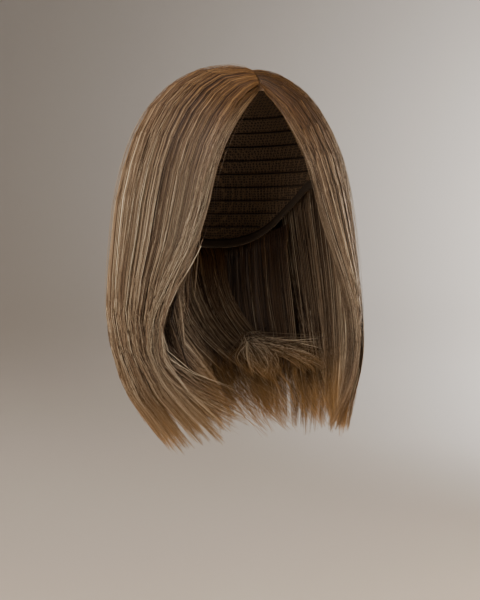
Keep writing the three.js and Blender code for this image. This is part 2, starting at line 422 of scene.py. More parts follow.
def fall_values(fall, across, down, quantity):
    """A fall's X, Y, Z or Wall at places across (0 at the face, 1 at the middle of the back) and down."""
    front = across < EAR_ACROSS
    edge_turn = EDGE_TURN * (1 - across / EAR_ACROSS)
    back_turn = (across - EAR_ACROSS) / (1 - EAR_ACROSS) * (math.pi / 2)
    if quantity == "Y":
        share = np.where(front, np.sin(edge_turn) / math.sin(EDGE_TURN), np.sin(back_turn))
    else:
        front_share = (1 - np.cos(edge_turn)) / (1 - math.cos(EDGE_TURN))
        share = np.where(front, front_share, 1 - np.cos(back_turn))
    back = 0 * down if quantity == "X" else along(BACK_FALL["back" + quantity], down)
    end = np.where(front, along(fall["edge" + quantity], down), back)
    side = along(fall["side" + quantity], down)
    return side + (end - side) * share


def fall_face(fall, across, down):
    """Points of a fall's smooth outer face, on the +X side."""
    return np.stack([fall_values(fall, across, down, axis) for axis in "XYZ"], axis=-1)


def fall_outward(fall, across, down):
    """The direction out of that face."""
    ahead = fall_face(fall, np.minimum(across + OUTWARD_STEP, 1), down)
    sideways = ahead - fall_face(fall, across - OUTWARD_STEP, down)
    low = fall_face(fall, across, np.maximum(down - OUTWARD_STEP, 0))
    normal = np.cross(fall_face(fall, across, down + OUTWARD_STEP) - low, sideways)
    return normal / np.linalg.norm(normal, axis=-1, keepdims=True)


def keep_off_cap(points, distance):
    """Moves points that are too close to the cap straight out from the egg's middle."""
    middle = np.array([0, 0, -CAP_HALF[2]])
    arm = points - middle
    depth = np.linalg.norm(arm / (CAP_HALF + distance), axis=-1, keepdims=True)
    return middle + arm / np.minimum(depth, 1)


print("right fall at its widest:", round(RIGHT_FALL["sideX"].max() / MM, 1), "mm from the middle")

# %% [markdown]
# A fall is combed with two guide sheets: its outer face and its inner face, as grids that share one
# map, across by down. A strand is then a line on that map, and its depth says how far it lies between
# the sheets. Both are kept in one mesh, the outer as the points and the inner as a stored attribute, so
# that a node tree can read them anywhere on the map. Sheets overlap where falls meet. The last one is
# for the whorl at the nape: the nape's own sheet, drawn out sideways and forwards on the wearer's left.

# %% Guide sheets
SHEET_COLUMNS = 60
SHEET_ROWS = 70
SHEET_END = 1.06
SIDE_SHARE = 2 / 3
OVERLAP = 0.03
BACK_RUN_ON = 0.17
FACE_SPILL = 0.06
SIDE_LAST = SIDE_SHARE + OVERLAP
BACK_FIRST = SIDE_SHARE - OVERLAP
BACK_LAST = 2 - SIDE_SHARE + BACK_RUN_ON
HEM_FIRST = 0.42
HEM_LAST = 1.72
CAP_WALL = 1.2 * MM
HAIR_CLEAR = CAP_WALL + 2.2 * MM
FALL_LIFT = 2.4 * MM
NAPE_LIFT = 2 * MM
WHORL_ASIDE = 18 * MM
WHORL_FORWARD = 36 * MM


def side_faces(side, across, down):
    """Outer and inner points of the hair on one side: 1 is the wearer's left and -1 the right."""
    fall = LEFT_FALL if side > 0 else RIGHT_FALL
    outer = fall_face(fall, across, down)
    depth = fall_values(fall, across, down, "Wall")[..., None]
    inner = outer - fall_outward(fall, across, down) * depth
    inner[..., 0] = np.maximum(inner[..., 0], np.minimum(outer[..., 0], PARTING_HALF_MM * MM))
    turn = np.array([side, 1, 1])
    return keep_off_cap(outer * turn, HAIR_CLEAR + FALL_LIFT), keep_off_cap(inner * turn, HAIR_CLEAR)


def right_faces(across, down):
    """The fall on the wearer's right."""
    return side_faces(-1, across, down)


def left_faces(across, down):
    """The fall on the wearer's left."""
    return side_faces(1, across, down)


def back_faces(across, down):
    """The hair round the back, from the right fall across the middle (1) to the left."""
    right = right_faces(np.minimum(across, 1), down)
    left = left_faces(np.minimum(2 - across, 1), down)
    return tuple(np.where((across < 1)[..., None], r, l) for r, l in zip(right, left))


def nape_faces(across, down):
    """The short layer under the back hair."""
    turn = math.pi * across
    side_x, side_y, side_z, back_y, back_z, wall = (along(column, down) for column in NAPE.values())

    def face(offset):
        x = -(side_x + offset) * np.cos(turn)
        y = side_y + (back_y + offset - side_y) * np.sin(turn)
        return np.stack([x, y, side_z + (back_z - side_z) * np.sin(turn)], axis=-1)

    return keep_off_cap(face(0), HAIR_CLEAR + NAPE_LIFT), keep_off_cap(face(-wall), HAIR_CLEAR)


def whorl_faces(across, down):
    """The same layer where it swirls, drawn out sideways and forwards on the wearer's left."""
    drawn = np.clip(2 * across - 1, 0, 1)
    move = np.stack([WHORL_ASIDE * drawn**2, -WHORL_FORWARD * drawn, 0 * drawn], axis=-1)
    return tuple(face + move for face in nape_faces(across, down))


def add_guide(name, faces_at, first, last):
    """One mesh for both sheets: the outer one is its points, the inner one the attribute `under`."""
    columns = np.linspace(first, last, SHEET_COLUMNS + 1)
    across, down = np.meshgrid(columns, np.linspace(0, SHEET_END, SHEET_ROWS + 1))
    outer, inner = faces_at(across, down)
    number = np.arange(across.size).reshape(across.shape)
    faces = quads(number[:-1, :-1], number[:-1, 1:], number[1:, 1:], number[1:, :-1])
    made = add_mesh(name, outer.reshape(-1, 3), faces.tolist())
    under = made.data.attributes.new("under", "FLOAT_VECTOR", "POINT")
    under.data.foreach_set("vector", inner.reshape(-1).astype(np.float32))
    chart = made.data.uv_layers.new(name="chart")
    row_of, column_of = np.divmod(faces.reshape(-1), SHEET_COLUMNS + 1)
    spots = np.stack([column_of / SHEET_COLUMNS, row_of / SHEET_ROWS], axis=-1)
    chart.data.foreach_set("uv", spots.reshape(-1))
    return made


guides = {
    "right": add_guide("guide_right", right_faces, -FACE_SPILL, SIDE_LAST),
    "left": add_guide("guide_left", left_faces, -FACE_SPILL, SIDE_LAST),
    "back": add_guide("guide_back", back_faces, BACK_FIRST, BACK_LAST),
    "hem": add_guide("guide_hem", back_faces, HEM_FIRST, HEM_LAST),
    "nape": add_guide("guide_nape", nape_faces, 0, 1),
    "whorl": add_guide("guide_whorl", whorl_faces, 0, 1),
}
print("guides:", {name: len(guide.data.polygons) for name, guide in guides.items()})

# %% [markdown]
# Real hair is never one brown. Each strand carries a tone, from lowlight to highlight, and a place
# along its length; both are stored as the strand's own map, tone across and length down. The finish
# turns them into colour: ash browns by tone, warmer and darker near the roots, golden towards the thin
# ends, partly the hair's own colour and partly painted glow of light through the thin tips. A picture
# of hair would blur on strands this thin, and a map of two numbers never does.

# %% Hair finish
HAIR_TONES = [
    (0.00, colour("140b06")),
    (0.25, colour("38271a")),
    (0.50, colour("6a5643")),
    (0.75, colour("9a8870")),
    (1.00, colour("d2c3a8")),
]
ROOT_TINT = colour("b89668")
ROOT_REACH = 0.40
END_GOLD_AND_GLOW = colour("ae8248")
GOLD_AND_GLOW_START = 0.72
STRAND_MAP = "strand_map"


def hair_material(name, gold_and_glow):
    """The finish of one layer of hair; gold_and_glow is how far its ends turn golden, partly as painted
    glow.
    """
    material, tree, shader = new_material(name)
    place = make_node(tree, "ShaderNodeUVMap", {"uv_map": STRAND_MAP})
    tone = place.node("ShaderNodeSeparateXYZ", None, {0: place}, "X")
    length = place.node("ShaderNodeSeparateXYZ", None, {0: place}, "Y")
    browns = tone.node("ShaderNodeValToRGB", {"stops": HAIR_TONES}, {0: tone}, "Color")
    rooted = mix_colours(length.step(0.0, ROOT_REACH, 1.0, 0.0), browns, ROOT_TINT, "MULTIPLY")
    # Golden ends: partly the hair's own colour, partly painted glow of light through the thin tips.
    ended = mix_colours(length.step(GOLD_AND_GLOW_START, 1.0, 0.0, gold_and_glow), rooted, END_GOLD_AND_GLOW)
    roughness = tone.step(0.0, 1.0, 0.48, 0.38)
    plug(tree, shader, Base_Color=ended, Roughness=roughness, Specular_IOR_Level=0.28)
    return material


outer_hair = hair_material("outer_hair", 0.34)
inner_hair = hair_material("inner_hair", 0.78)
print("hair finishes:", outer_hair.name, inner_hair.name)

# %% [markdown]
# One node tree combs every fall. Combing by hand in the viewport would give a hair system that other
# programs can't read, while a tree gives plain mesh and can be run again with other numbers. These are
# its inputs: how many strands and points; between which places across and depths they lie; where they
# start and end; how they gather in locks, wander, sweep sideways, curl in and fan out from one spot;
# and their tone.

# %% Inputs of the comb
COMB_INPUTS = {
    "Strands": 2000,
    "Points": 15,
    "Seed": 1,
    "Across Start": 0.0,
    "Across End": 1.0,
    "Depth Start": 0.0,
    "Depth End": 0.25,
    "Root Start": 0.0,
    "Root Spread": 0.0,
    "Root Rise": 0.7,
    "End": 1.0,
    "End Spread": 0.12,
    "Locks": 20.0,
    "Gather": 0.6,
    "Wander": 0.02,
    "Sweep": 0.0,
    "Lean": 0.03,
    "Slant": 0.0,
    "Curl": 0.0,
    "Curl Power": 6.0,
    "Curl Fade": 0.0,
    "Fan": 0.0,
    "Fan Middle": 0.5,
    "Fan Reach": 0.8,
    "Radius": 0.25 * MM,
    "Tone": 0.5,
    "Tone Spread": 0.8,
    "Depth Tone": -0.8,
    "Face Tone": 0.0,
    "Face Width": 0.16,
    "Material": None,
}
SOCKET_KINDS = {int: "NodeSocketInt", float: "NodeSocketFloat", type(None): "NodeSocketMaterial"}


def new_geometry_tree(name, inputs):
    """A geometry tree with a geometry input, the named inputs and a geometry output."""
    tree = bpy.data.node_groups.new(name, "GeometryNodeTree")
    tree.interface.new_socket("Geometry", in_out="INPUT", socket_type="NodeSocketGeometry")
    tree.interface.new_socket("Geometry", in_out="OUTPUT", socket_type="NodeSocketGeometry")
    for label, value in inputs.items():
        socket = tree.interface.new_socket(label, in_out="INPUT", socket_type=SOCKET_KINDS[type(value)])
        if value is not None:
            socket.default_value = value
    start = tree.nodes.new("NodeGroupInput")
    return tree, {socket.name: Wire(socket) for socket in start.outputs if socket.name}


def end_tree(geometry):
    """Links the finished geometry to its tree's output."""
    tree = geometry.tree
    tree.links.new(geometry.socket, tree.nodes.new("NodeGroupOutput").inputs[0])


print("inputs of the comb:", len(COMB_INPUTS))

# %% [markdown]
# The comb starts from straight lines, one for each strand. A strand falls into a lock, and within it
# into a smaller wisp: the map is cut into uneven strips, and each strand knows its strip and how far
# away the strip's middle is. Random numbers belong to a strand, a lock or a wisp, and each draw has a
# step of its own, so that the same seed always combs the same hair.

# %% Lines, locks and random numbers
WISPS_PER_LOCK = 4.3
LOCK_UNEVENNESS = 1.2


def random_number(owner, seed, step, low=0.0, high=1.0):
    """A random number for each strand, lock or wisp; step keeps the draws of one tree apart."""
    inputs = {2: low, 3: high, 7: owner, 8: seed * 37 + step}
    return owner.node("FunctionNodeRandomValue", {"data_type": "FLOAT"}, inputs, 1)


def noise(across, down, seed, scale, detail=1.0):
    """A smooth number from about -0.5 to 0.5 over the map."""
    spot = across.node("ShaderNodeCombineXYZ", None, {0: across, 1: down, 2: seed * 7.3})
    inputs = {"Vector": spot, "Scale": scale, "Detail": detail, "Roughness": 0.7}
    return across.node("ShaderNodeTexNoise", None, inputs) - 0.5


def straight_lines(given):
    """As many straight lines as strands are asked for, with their points."""
    line = given["Seed"].node("GeometryNodeCurvePrimitiveLine")
    line = line.node("GeometryNodeResampleCurve", None, {"Curve": line, "Count": given["Points"]})
    roots = line.node("GeometryNodePoints", None, {"Count": given["Strands"]})
    copies = line.node("GeometryNodeInstanceOnPoints", None, {"Points": roots, "Instance": line})
    return line.node("GeometryNodeRealizeInstances", None, {"Geometry": copies})


def lock_of(place, locks, seed):
    """The number of the lock that a strand lies in, and how far across the lock's middle is from it."""
    warp = noise(place * locks, 0.0, seed, 0.6) * LOCK_UNEVENNESS
    number = warp.maths("FLOOR", place * locks + warp)
    return number, (number + 0.5 - warp) / locks - place


# %% [markdown]
# A strand's run is worked out on the map. Going down, it starts at its root and ends a little short, by
# an amount that its lock and wisp share, which cuts the ends into points. Going across, it wanders, is
# drawn to the middle of its lock and its wisp as it nears the ends, and leans, slants, sweeps or fans
# out. Its depth makes it rise from the cap at the root. Its tone is a streak that neighbours share,
# with a shade of its own, and painted shade by depth darkens strands away from the side that shows.

# %% A strand's run on the map
DOWN_POWER = 1.2
LOCK_START = 0.68
WISP_START = 0.7
RISE_REACH = 0.16
FACE_START = 0.05
MAP_MARGIN = 0.001
STREAKS_ACROSS = 130


def strand_tone(given, draw, place, depth, down):
    """A strand's tone: shared streaks, its own shade, what the face adds, and painted shade by depth."""
    streaks = noise(place * STREAKS_ACROSS, down * 0.4, given["Seed"] + 5, 1.0, 3.0) * 1.5
    single = (draw(8) - 0.5) ** 3.0 * 4.0 + (draw(11) - 0.5) * 0.7
    tone = given["Tone"] + (streaks + single) * given["Tone Spread"]
    tone = tone + place.step(FACE_START, given["Face Width"], given["Face Tone"], 0.0)
    # Painted shade: strands darken with depth, away from the side of the fall that shows.
    tone = tone + (depth - given["Depth Start"]) * given["Depth Tone"]
    return tone.limited(0.02, 0.98)


def strand_course(given, strand, length):
    """A strand's run on the map, across and down, with its share of the depth, its curl and its tone."""
    seed, locks = given["Seed"], given["Locks"]

    def draw(step, low=0.0, high=1.0, owner=strand):
        return random_number(owner, seed, step, low, high)

    place = draw(1, given["Across Start"], given["Across End"])
    depth = draw(2, given["Depth Start"], given["Depth End"])
    lock, to_lock = lock_of(place, locks, seed + 2)
    wisp, to_wisp = lock_of(place, locks * WISPS_PER_LOCK, seed + 4)

    root = given["Root Start"] + given["Root Spread"] * draw(3)
    aside = place.maths("ABSOLUTE", to_lock * locks)
    shorter = draw(4) ** 2.0 + aside * 0.4 + draw(5, owner=lock) * 0.4 + draw(12, owner=wisp) * 0.7
    down = root + (given["End"] - given["End Spread"] * shorter - root) * length**DOWN_POWER

    gather = given["Gather"] * down.step(LOCK_START, 1.0) * draw(10, 0.4, 1.0, lock)
    pinch = given["Gather"] * length.step(WISP_START, 1.0) * draw(13, 0.5, 1.6, wisp)
    lean = draw(14, -1.0, 1.0, lock) + draw(15, -0.7, 0.7, wisp)
    fan = given["Fan"] * length.step(0.0, given["Fan Reach"], 1.0, 0.0)
    fanned = (given["Fan Middle"] - place) * fan
    wander = noise(place * 9, down, seed, 1.6) * down.step(0.0, 0.25) * given["Wander"]
    stray = (draw(6) - 0.5) ** 3.0 * down.step(0.1, 1.0) * given["Wander"] * 6
    across = place + to_lock * gather + to_wisp * pinch + fanned + wander + stray
    across = across + given["Sweep"] * down**3.0 * (1 - place) ** 0.5
    across = across + (given["Slant"] * (1 - place) ** 0.3 + given["Lean"] * lean) * length**4.0

    rise = given["Root Rise"] * length.step(0.0, RISE_REACH, 1.0, 0.0)
    waver = noise(place * 23, down, seed + 3, 2.0) * down.step(0.0, 0.3) * given["Wander"] * 3
    share = depth + (1 - depth) * rise + waver + draw(7, -0.05, 0.05, lock) * down
    curl = given["Curl"] * (1 - given["Curl Fade"] * place) * length ** given["Curl Power"]
    curl = curl * draw(16, 0.5, 1.0, lock)
    tone = strand_tone(given, draw, place, depth, down)
    across = across.limited(MAP_MARGIN, 1 - MAP_MARGIN)
    return across, down.limited(MAP_MARGIN, SHEET_END - MAP_MARGIN), share, curl, tone


# %% [markdown]
# The run is then read off the guide sheets, which turns it into points in space, and a curl draws those
# towards the middle of the wig. A three-sided tube along each line makes a closed strand that gets thin
# towards its end. More sides would cost mesh that nobody sees at half a millimetre.

# %% From the map to strands
STRAND_SIDES = 3
TIP_THICKNESS = 0.2


def on_sheets(guide, across, down, share):
    """The point between a guide's two sheets at a place on the map."""
    spot = across.node("ShaderNodeCombineXYZ", None, {0: across, 1: down / SHEET_END})
    named = {"data_type": "FLOAT_VECTOR"}
    chart = across.node("GeometryNodeInputNamedAttribute", named, {"Name": "chart"})
    under = across.node("GeometryNodeInputNamedAttribute", named, {"Name": "under"})
    over = across.node("GeometryNodeInputPosition")
    read = {"Mesh": guide, "UV Map": chart, "Sample UV": spot}
    outer = across.node("GeometryNodeSampleUVSurface", named, {**read, "Value": over})
    inner = across.node("GeometryNodeSampleUVSurface", named, {**read, "Value": under})
    settings = {"data_type": "VECTOR", "clamp_factor": False}
    return across.node("ShaderNodeMix", settings, {0: share, 4: outer, 5: inner}, 1)


def stored(geometry, kind, domain, label, value):
    """Keeps a value on the geometry under a name."""
    settings = {"data_type": kind, "domain": domain}
    inputs = {"Geometry": geometry, "Name": label, "Value": value}
    return geometry.node("GeometryNodeStoreNamedAttribute", settings, inputs)


def with_material(geometry, material):
    """Sets a material on all of a geometry."""
    return geometry.node("GeometryNodeSetMaterial", None, {"Geometry": geometry, "Material": material})


def comb_tree():
    """The tree that combs strands between a fall's guide sheets."""
    tree, given = new_geometry_tree("comb", COMB_INPUTS)
    lines = straight_lines(given)
    strand = lines.node("GeometryNodeCurveOfPoint", None, None, "Curve Index")
    length = lines.node("GeometryNodeSplineParameter", None, None, "Factor")
    across, down, share, curl, tone = strand_course(given, strand, length)
    position = on_sheets(given["Geometry"], across, down, share)
    inwards = curl.node("ShaderNodeCombineXYZ", None, {0: 1 - curl, 1: 1.0, 2: 1.0})
    position = curl.node("ShaderNodeVectorMath", {"operation": "MULTIPLY"}, {0: position, 1: inwards})
    lines = lines.node("GeometryNodeSetPosition", None, {"Geometry": lines, "Position": position})
    lines = stored(lines, "FLOAT", "POINT", "tone", tone)
    lines = stored(lines, "FLOAT", "POINT", "level", down)

    uneven = random_number(strand, given["Seed"], 9, 0.5, 1.2)
    thickness = given["Radius"] * length.step(0.7, 1.0, 1.0, TIP_THICKNESS) * uneven
    inputs = {"Resolution": STRAND_SIDES, "Radius": 1.0}
    ring = lines.node("GeometryNodeCurvePrimitiveCircle", None, inputs)
    inputs = {"Curve": lines, "Profile Curve": ring, "Scale": thickness, "Fill Caps": True}
    tubes = lines.node("GeometryNodeCurveToMesh", None, inputs)
    settings = {"data_type": "FLOAT"}
    kept_tone = tubes.node("GeometryNodeInputNamedAttribute", settings, {"Name": "tone"})
    kept_level = tubes.node("GeometryNodeInputNamedAttribute", settings, {"Name": "level"})
    chart = tubes.node("ShaderNodeCombineXYZ", None, {0: kept_tone, 1: kept_level})
    for label in (STRAND_MAP, "OFBake"):
        tubes = stored(tubes, "FLOAT2", "CORNER", label, chart)
    tubes = tubes.node("GeometryNodeSetShadeSmooth", None, {"Geometry": tubes})
    tubes = tubes.node("GeometryNodeRealizeInstances", None, {"Geometry": tubes})
    end_tree(with_material(tubes, given["Material"]))
    return tree


comb = comb_tree()
print("comb:", len(comb.nodes), "nodes")

# %% [markdown]
# A tree runs as a modifier on a copy of its guide. The modifier's inputs are set by the sockets'
# identifiers, because names need not be unique. The result is turned into a plain mesh, and the
# modifier goes with the copy that carried it. Each finished piece rides with the wig's one body.

# %% Run a tree and keep a piece
pieces = {}


def run_tree(tree, source, name, **values):
    """Runs a geometry tree on a copy of the source and returns the result as a plain mesh object."""
    carrier = source.copy()
    bpy.context.scene.collection.objects.link(carrier)
    modifier = carrier.modifiers.new("tree", "NODES")
    modifier.node_group = tree
    sockets = [item for item in tree.interface.items_tree if item.in_out == "INPUT"]
    identifiers = {socket.name: socket.identifier for socket in sockets}
    for label, value in values.items():
        modifier[identifiers[label.replace("_", " ")]] = value
    evaluated = carrier.evaluated_get(bpy.context.evaluated_depsgraph_get())
    mesh = bpy.data.meshes.new_from_object(evaluated)
    mesh.name = name
    bpy.data.objects.remove(carrier)
    made = bpy.data.objects.new(name, mesh)
    bpy.context.scene.collection.objects.link(made)
    return made


def triangles(piece):
    """How many triangles a mesh has."""
    return sum(len(p.vertices) - 2 for p in piece.data.polygons)


def keep(piece, slot, *nodes):
    """Puts a finished piece on the wig: it rides with the body and stands for solids; slot is not used.
    """
    for attribute in ("tone", "level"):
        stored_one = piece.data.attributes.get(attribute)
        if stored_one:
            piece.data.attributes.remove(stored_one)
    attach(piece, "root")
    if nodes:
        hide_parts(*nodes)
    pieces[piece.name] = piece
    print(piece.name, triangles(piece), "triangles")
    return piece


def comb_piece(name, guide, style, *nodes, **changes):
    """Combs a piece on a guide, in a style with some changes; nodes are the solids it stands for."""
    return keep(run_tree(comb, guides[guide], name, **{**style, **changes}), "hair", *nodes)


# %% [markdown]
# The outer strands make what the eye sees of a fall, so they get the most of the mesh: thin, close
# together and streaked. The fall on the wearer's right curls in at its face edge, and the left one only
# a little. The strands inside are fewer and darker; they show at the face opening and from below, and
# on the wearer's left they lighten towards the face. Loose ends of their own, in narrow locks, keep the
# hem from looking cut with a ruler: swept in on the right, flicked out on the left, and slanted round
# the back.

# %% Comb the falls
EDGE = FACE_SPILL / (FACE_SPILL + SIDE_LAST)
BACK_END = (2 - SIDE_SHARE + OVERLAP - BACK_FIRST) / (BACK_LAST - BACK_FIRST)
OUTER = dict(Depth_End=0.22, Locks=19.0, Gather=0.3, Material=outer_hair)
INNER = dict(Points=10, Depth_Start=0.62, Depth_End=1.0, Locks=13.0, Gather=0.35, Tone=0.30,
             Depth_Tone=0.3, Material=inner_hair)
ENDS = dict(Points=8, Root_Start=0.5, Root_Spread=0.25, Root_Rise=0.0, Depth_Start=0.1, Depth_End=0.9,
            Locks=29.0, Gather=0.55, Tone=0.44, Depth_Tone=0.0, Material=inner_hair)

comb_piece("hair_right_top", "right", OUTER, "hair_right", Strands=2250, Points=14, Seed=11,
           Across_Start=EDGE, Sweep=-0.1, Curl=0.32, Curl_Fade=1.2, End=1.01, End_Spread=0.055, Tone=0.53,
           Tone_Spread=0.78, Face_Tone=0.15)
# Painted shade: the fall on the wearer's left, away from the key lamp, gets a lower tone than the right
# one.
comb_piece("hair_left_top", "left", OUTER, "hair_left", Strands=1950, Points=13, Seed=12,
           Across_Start=EDGE, Curl=0.09, Curl_Power=5.0, End=1.02, End_Spread=0.08, Tone=0.36,
           Tone_Spread=0.70, Face_Tone=0.05)
comb_piece("hair_back_top", "back", OUTER, "hair_back", Strands=2000, Points=12, Seed=13,
           Across_End=BACK_END, Lean=0.05, Slant=0.1, End=1.02, End_Spread=0.07, Tone=0.50,
           Tone_Spread=0.62)
comb_piece("hair_right_inside", "right", INNER, Strands=900, Seed=21, Across_Start=EDGE, Sweep=-0.15,
           Curl=0.6, Curl_Fade=0.3)
comb_piece("hair_left_inside", "left", INNER, Strands=750, Seed=22, Across_Start=EDGE, Face_Tone=0.34,
           Face_Width=0.75, Material=outer_hair)
comb_piece("hair_back_inside", "back", INNER, Strands=600, Seed=23, Across_End=BACK_END, Root_Start=0.3,
           Sweep=0.1, Slant=0.12, End=1.01, End_Spread=0.08)
comb_piece("hair_right_ends", "right", ENDS, Strands=800, Seed=25, Sweep=-0.1, Curl=0.75, Curl_Fade=0.3,
           Lean=0.05, End_Spread=0.09, Material=outer_hair)
comb_piece("hair_left_flicks", "left", ENDS, Strands=320, Seed=26, Across_Start=0.30, Across_End=0.72,
           Depth_Start=-0.03, Depth_End=0.1, Root_Start=0.6, Root_Rise=0.3, Curl=-0.04, Curl_Power=8.0,
           Lean=0.09, End=1.02, End_Spread=0.07, Locks=31.0, Gather=0.9, Tone=0.45, Tone_Spread=0.9,
           Material=outer_hair)
comb_piece("hair_hem_ends", "hem", ENDS, Strands=3400, Seed=28, Lean=0.05, Slant=0.14, End=1.03,
           End_Spread=0.095)

# %% [markdown]
# The short layer at the nape lies under the back hair, and nothing holds it flat. Seen from the front
# it swirls. A base of dark strands hangs down; on the wearer's right a second layer is swept across
# towards the middle; and from a spot near there a third fans out in a whorl towards the left, some of
# it nearly level.

# %% Comb the nape
NAPE_COMB = dict(Points=10, Wander=0.05, Root_Rise=0.0, Gather=0.35, Depth_Tone=0.25, Material=inner_hair)

comb_piece("hair_nape_base", "nape", NAPE_COMB, "hair_nape", Strands=550, Seed=30, Depth_Start=0.5,
           Depth_End=1.0, Sweep=0.08, Locks=17.0, Tone=0.22)
comb_piece("hair_nape_swept", "nape", NAPE_COMB, Strands=700, Seed=31, Across_End=0.55, Depth_Start=0.8,
           Depth_End=1.4, Sweep=0.62, End_Spread=0.16, Locks=9.0, Tone=0.36)
comb_piece("hair_nape_fanned", "whorl", NAPE_COMB, Strands=500, Seed=32, Across_Start=0.56,
           Across_End=0.92, Depth_Start=0.8, Depth_End=1.5, Root_Start=0.69, Root_Spread=0.08, Lean=0.06,
           Fan=0.88, Fan_Middle=0.65, Fan_Reach=1.0, End=1.0, End_Spread=0.16, Locks=12.0, Tone=0.40,
           Tone_Spread=0.9)

# %% [markdown]
# At the front hairline single hairs are tied into the lace, thin and far apart, and a few strands
# always stand away from a combed fall. Both soften what would else be a cut edge. The comb makes them
# too, with finer strands, and lets the strays wander more.

# %% Hairline and stray hairs
HAIRLINE = dict(Points=12, Across_Start=EDGE * 0.5, Across_End=EDGE * 1.8, Fan=0.6, Fan_Middle=0.0,
                Depth_Start=0.0, Depth_End=1.0, Root_Spread=0.22, Gather=0.2, Radius=0.16 * MM, Tone=0.66,
                Depth_Tone=-0.2, Material=outer_hair)
STRAYS = dict(Points=12, Depth_Start=-0.09, Depth_End=0.0, Gather=0.1, Wander=0.05, Radius=0.12 * MM,
              Tone=0.6, End_Spread=0.4, Material=outer_hair)
FIRST_STRAY_SEED = 51

comb_piece("hairline_right", "right", HAIRLINE, Strands=300, Seed=41)
comb_piece("hairline_left", "left", HAIRLINE, Strands=300, Seed=42, Tone=0.50)
comb_piece("strays_inside", "right", dict(Material=outer_hair), Points=24, Strands=4, Seed=44,
           Across_Start=EDGE, Across_End=0.3, Depth_Start=1.1, Depth_End=2.0, Root_Start=0.3,
           End_Spread=0.5, Radius=0.10 * MM, Tone=0.95, Tone_Spread=0.2, Depth_Tone=0.0)
for stray_seed, label in enumerate(("right", "left", "back"), FIRST_STRAY_SEED):
    comb_piece(f"strays_{label}", label, STRAYS, Strands=70, Seed=stray_seed)

# %% [markdown]
# Most pieces that are left are thin shells: two grids of points, one over the other, closed along their
# edges. Solidify could thicken one grid, but here each side has a form of its own. Points that fall
# together, as at the top of a dome, are merged, and then the faces are turned outwards.

# %% A closed shell
MERGE_DISTANCE = 1e-6


def shell_mesh(name, outer, inner, chart, wraps=False, pointed=False):
    """A closed shell between two grids, mapped by a chart; it can wrap round and start at one point."""
    rows, columns = outer.shape[:2]
    over = np.arange(rows * columns).reshape(rows, columns)
    if wraps:
        over = np.concatenate([over, over[:, :1]], axis=1)
    under = over + rows * columns
    faces = [
        quads(over[:-1, :-1], over[:-1, 1:], over[1:, 1:], over[1:, :-1]),
        quads(under[:-1, 1:], under[:-1, :-1], under[1:, :-1], under[1:, 1:]),
        quads(over[-1, :-1], over[-1, 1:], under[-1, 1:], under[-1, :-1]),
    ]
    if not pointed:
        faces.append(quads(over[0, 1:], over[0, :-1], under[0, :-1], under[0, 1:]))
    if not wraps:
        faces.append(quads(over[:-1, 0], over[1:, 0], under[1:, 0], under[:-1, 0]))
        faces.append(quads(over[1:, -1], over[:-1, -1], under[:-1, -1], under[1:, -1]))
    faces = np.concatenate(faces)
    made = add_mesh(name, np.concatenate([outer.reshape(-1, 3), inner.reshape(-1, 3)]), faces.tolist())
    spots = np.tile(chart.reshape(-1, 2), (2, 1))[faces.reshape(-1)]
    made.data.uv_layers.new(name=STRAND_MAP).data.foreach_set("uv", spots.reshape(-1))
    shell = bmesh.new()
    shell.from_mesh(made.data)
    bmesh.ops.remove_doubles(shell, verts=shell.verts, dist=MERGE_DISTANCE)
    bmesh.ops.recalc_face_normals(shell, faces=shell.faces)
    shell.to_mesh(made.data)
    shell.free()
    return made


# %% [markdown]
# Strands alone would let light through a fall, so a body of hair fills its middle: the space between
# the sheets, from just under the outer strands to just above the inner ones. It sinks at the parting,
# thins out below and ends in points short of the tips, so that only strands make the ends. Fine ridges
# in its finish stand for the strands that nobody sees one by one.

# %% Bodies of hair under the strands
BODY_COLUMNS = 68
BODY_ROWS = 24
BODY_TOP_SHARE = 0.30
BODY_UNDER_SHARE = 0.62
BODY_FIRST = 0.015
BODY_END = 0.88
BODY_NOTCH = 0.10
BODY_LOCKS = 17
BODY_THINNING = 0.55
BODY_START = 0.14
BODY_SINK = 0.55
BODY_EDGE = 0.03
NAPE_BODY_FIRST = 0.14
NAPE_BODY_LAST = 0.92
RIDGES = (140.0, 2.0, 1.0)


def body_material():
    """Streaky dark brown for the hair under the strands, with fine ridges that run down it."""
    material, tree, shader = new_material("hair_body")
    place = make_node(tree, "ShaderNodeUVMap", {"uv_map": STRAND_MAP})
    streaks = place.node("ShaderNodeMapping", None, {0: place, 3: RIDGES})
    fine = streaks.node("ShaderNodeTexNoise", None, {"Vector": streaks, "Scale": 1.0, "Detail": 3.0})
    browns = fine.node("ShaderNodeValToRGB", {"stops": HAIR_TONES}, {0: fine * 0.7 - 0.08}, "Color")
    bump = fine.node("ShaderNodeBump", None, {"Strength": 0.7, "Distance": 0.5 * MM, "Height": fine})
    plug(tree, shader, Base_Color=browns, Roughness=0.55, Normal=bump)
    return material


def add_body(name, faces_at, first, last):
    """The closed body of hair inside a fall, between two places across it."""
    across, reach = np.meshgrid(np.linspace(0, 1, BODY_COLUMNS + 1), np.linspace(0, 1, BODY_ROWS + 1))
    notch = np.abs(np.sin(math.pi * BODY_LOCKS * across)) ** 0.7
    down = BODY_FIRST + reach * (BODY_END - BODY_NOTCH * (1 - notch) - BODY_FIRST)
    outer, inner = faces_at(first + across * (last - first), down)
    thin = np.clip((reach - BODY_THINNING) / (1 - BODY_THINNING), 0, 1)[..., None] ** 2
    start = np.clip(1 - down / BODY_START, 0, 1)[..., None]
    sink = BODY_SINK * start * start * (3 - 2 * start)
    top = outer + (inner - outer) * (BODY_TOP_SHARE + sink + thin * 0.2)
    bottom = outer + (inner - outer) * (BODY_UNDER_SHARE + sink * 0.6 - thin * 0.05)
    made = shell_mesh(name, top, bottom, np.stack([across, down], axis=-1))
    made.data.materials.append(hair_body)
    return keep(made, "hair")


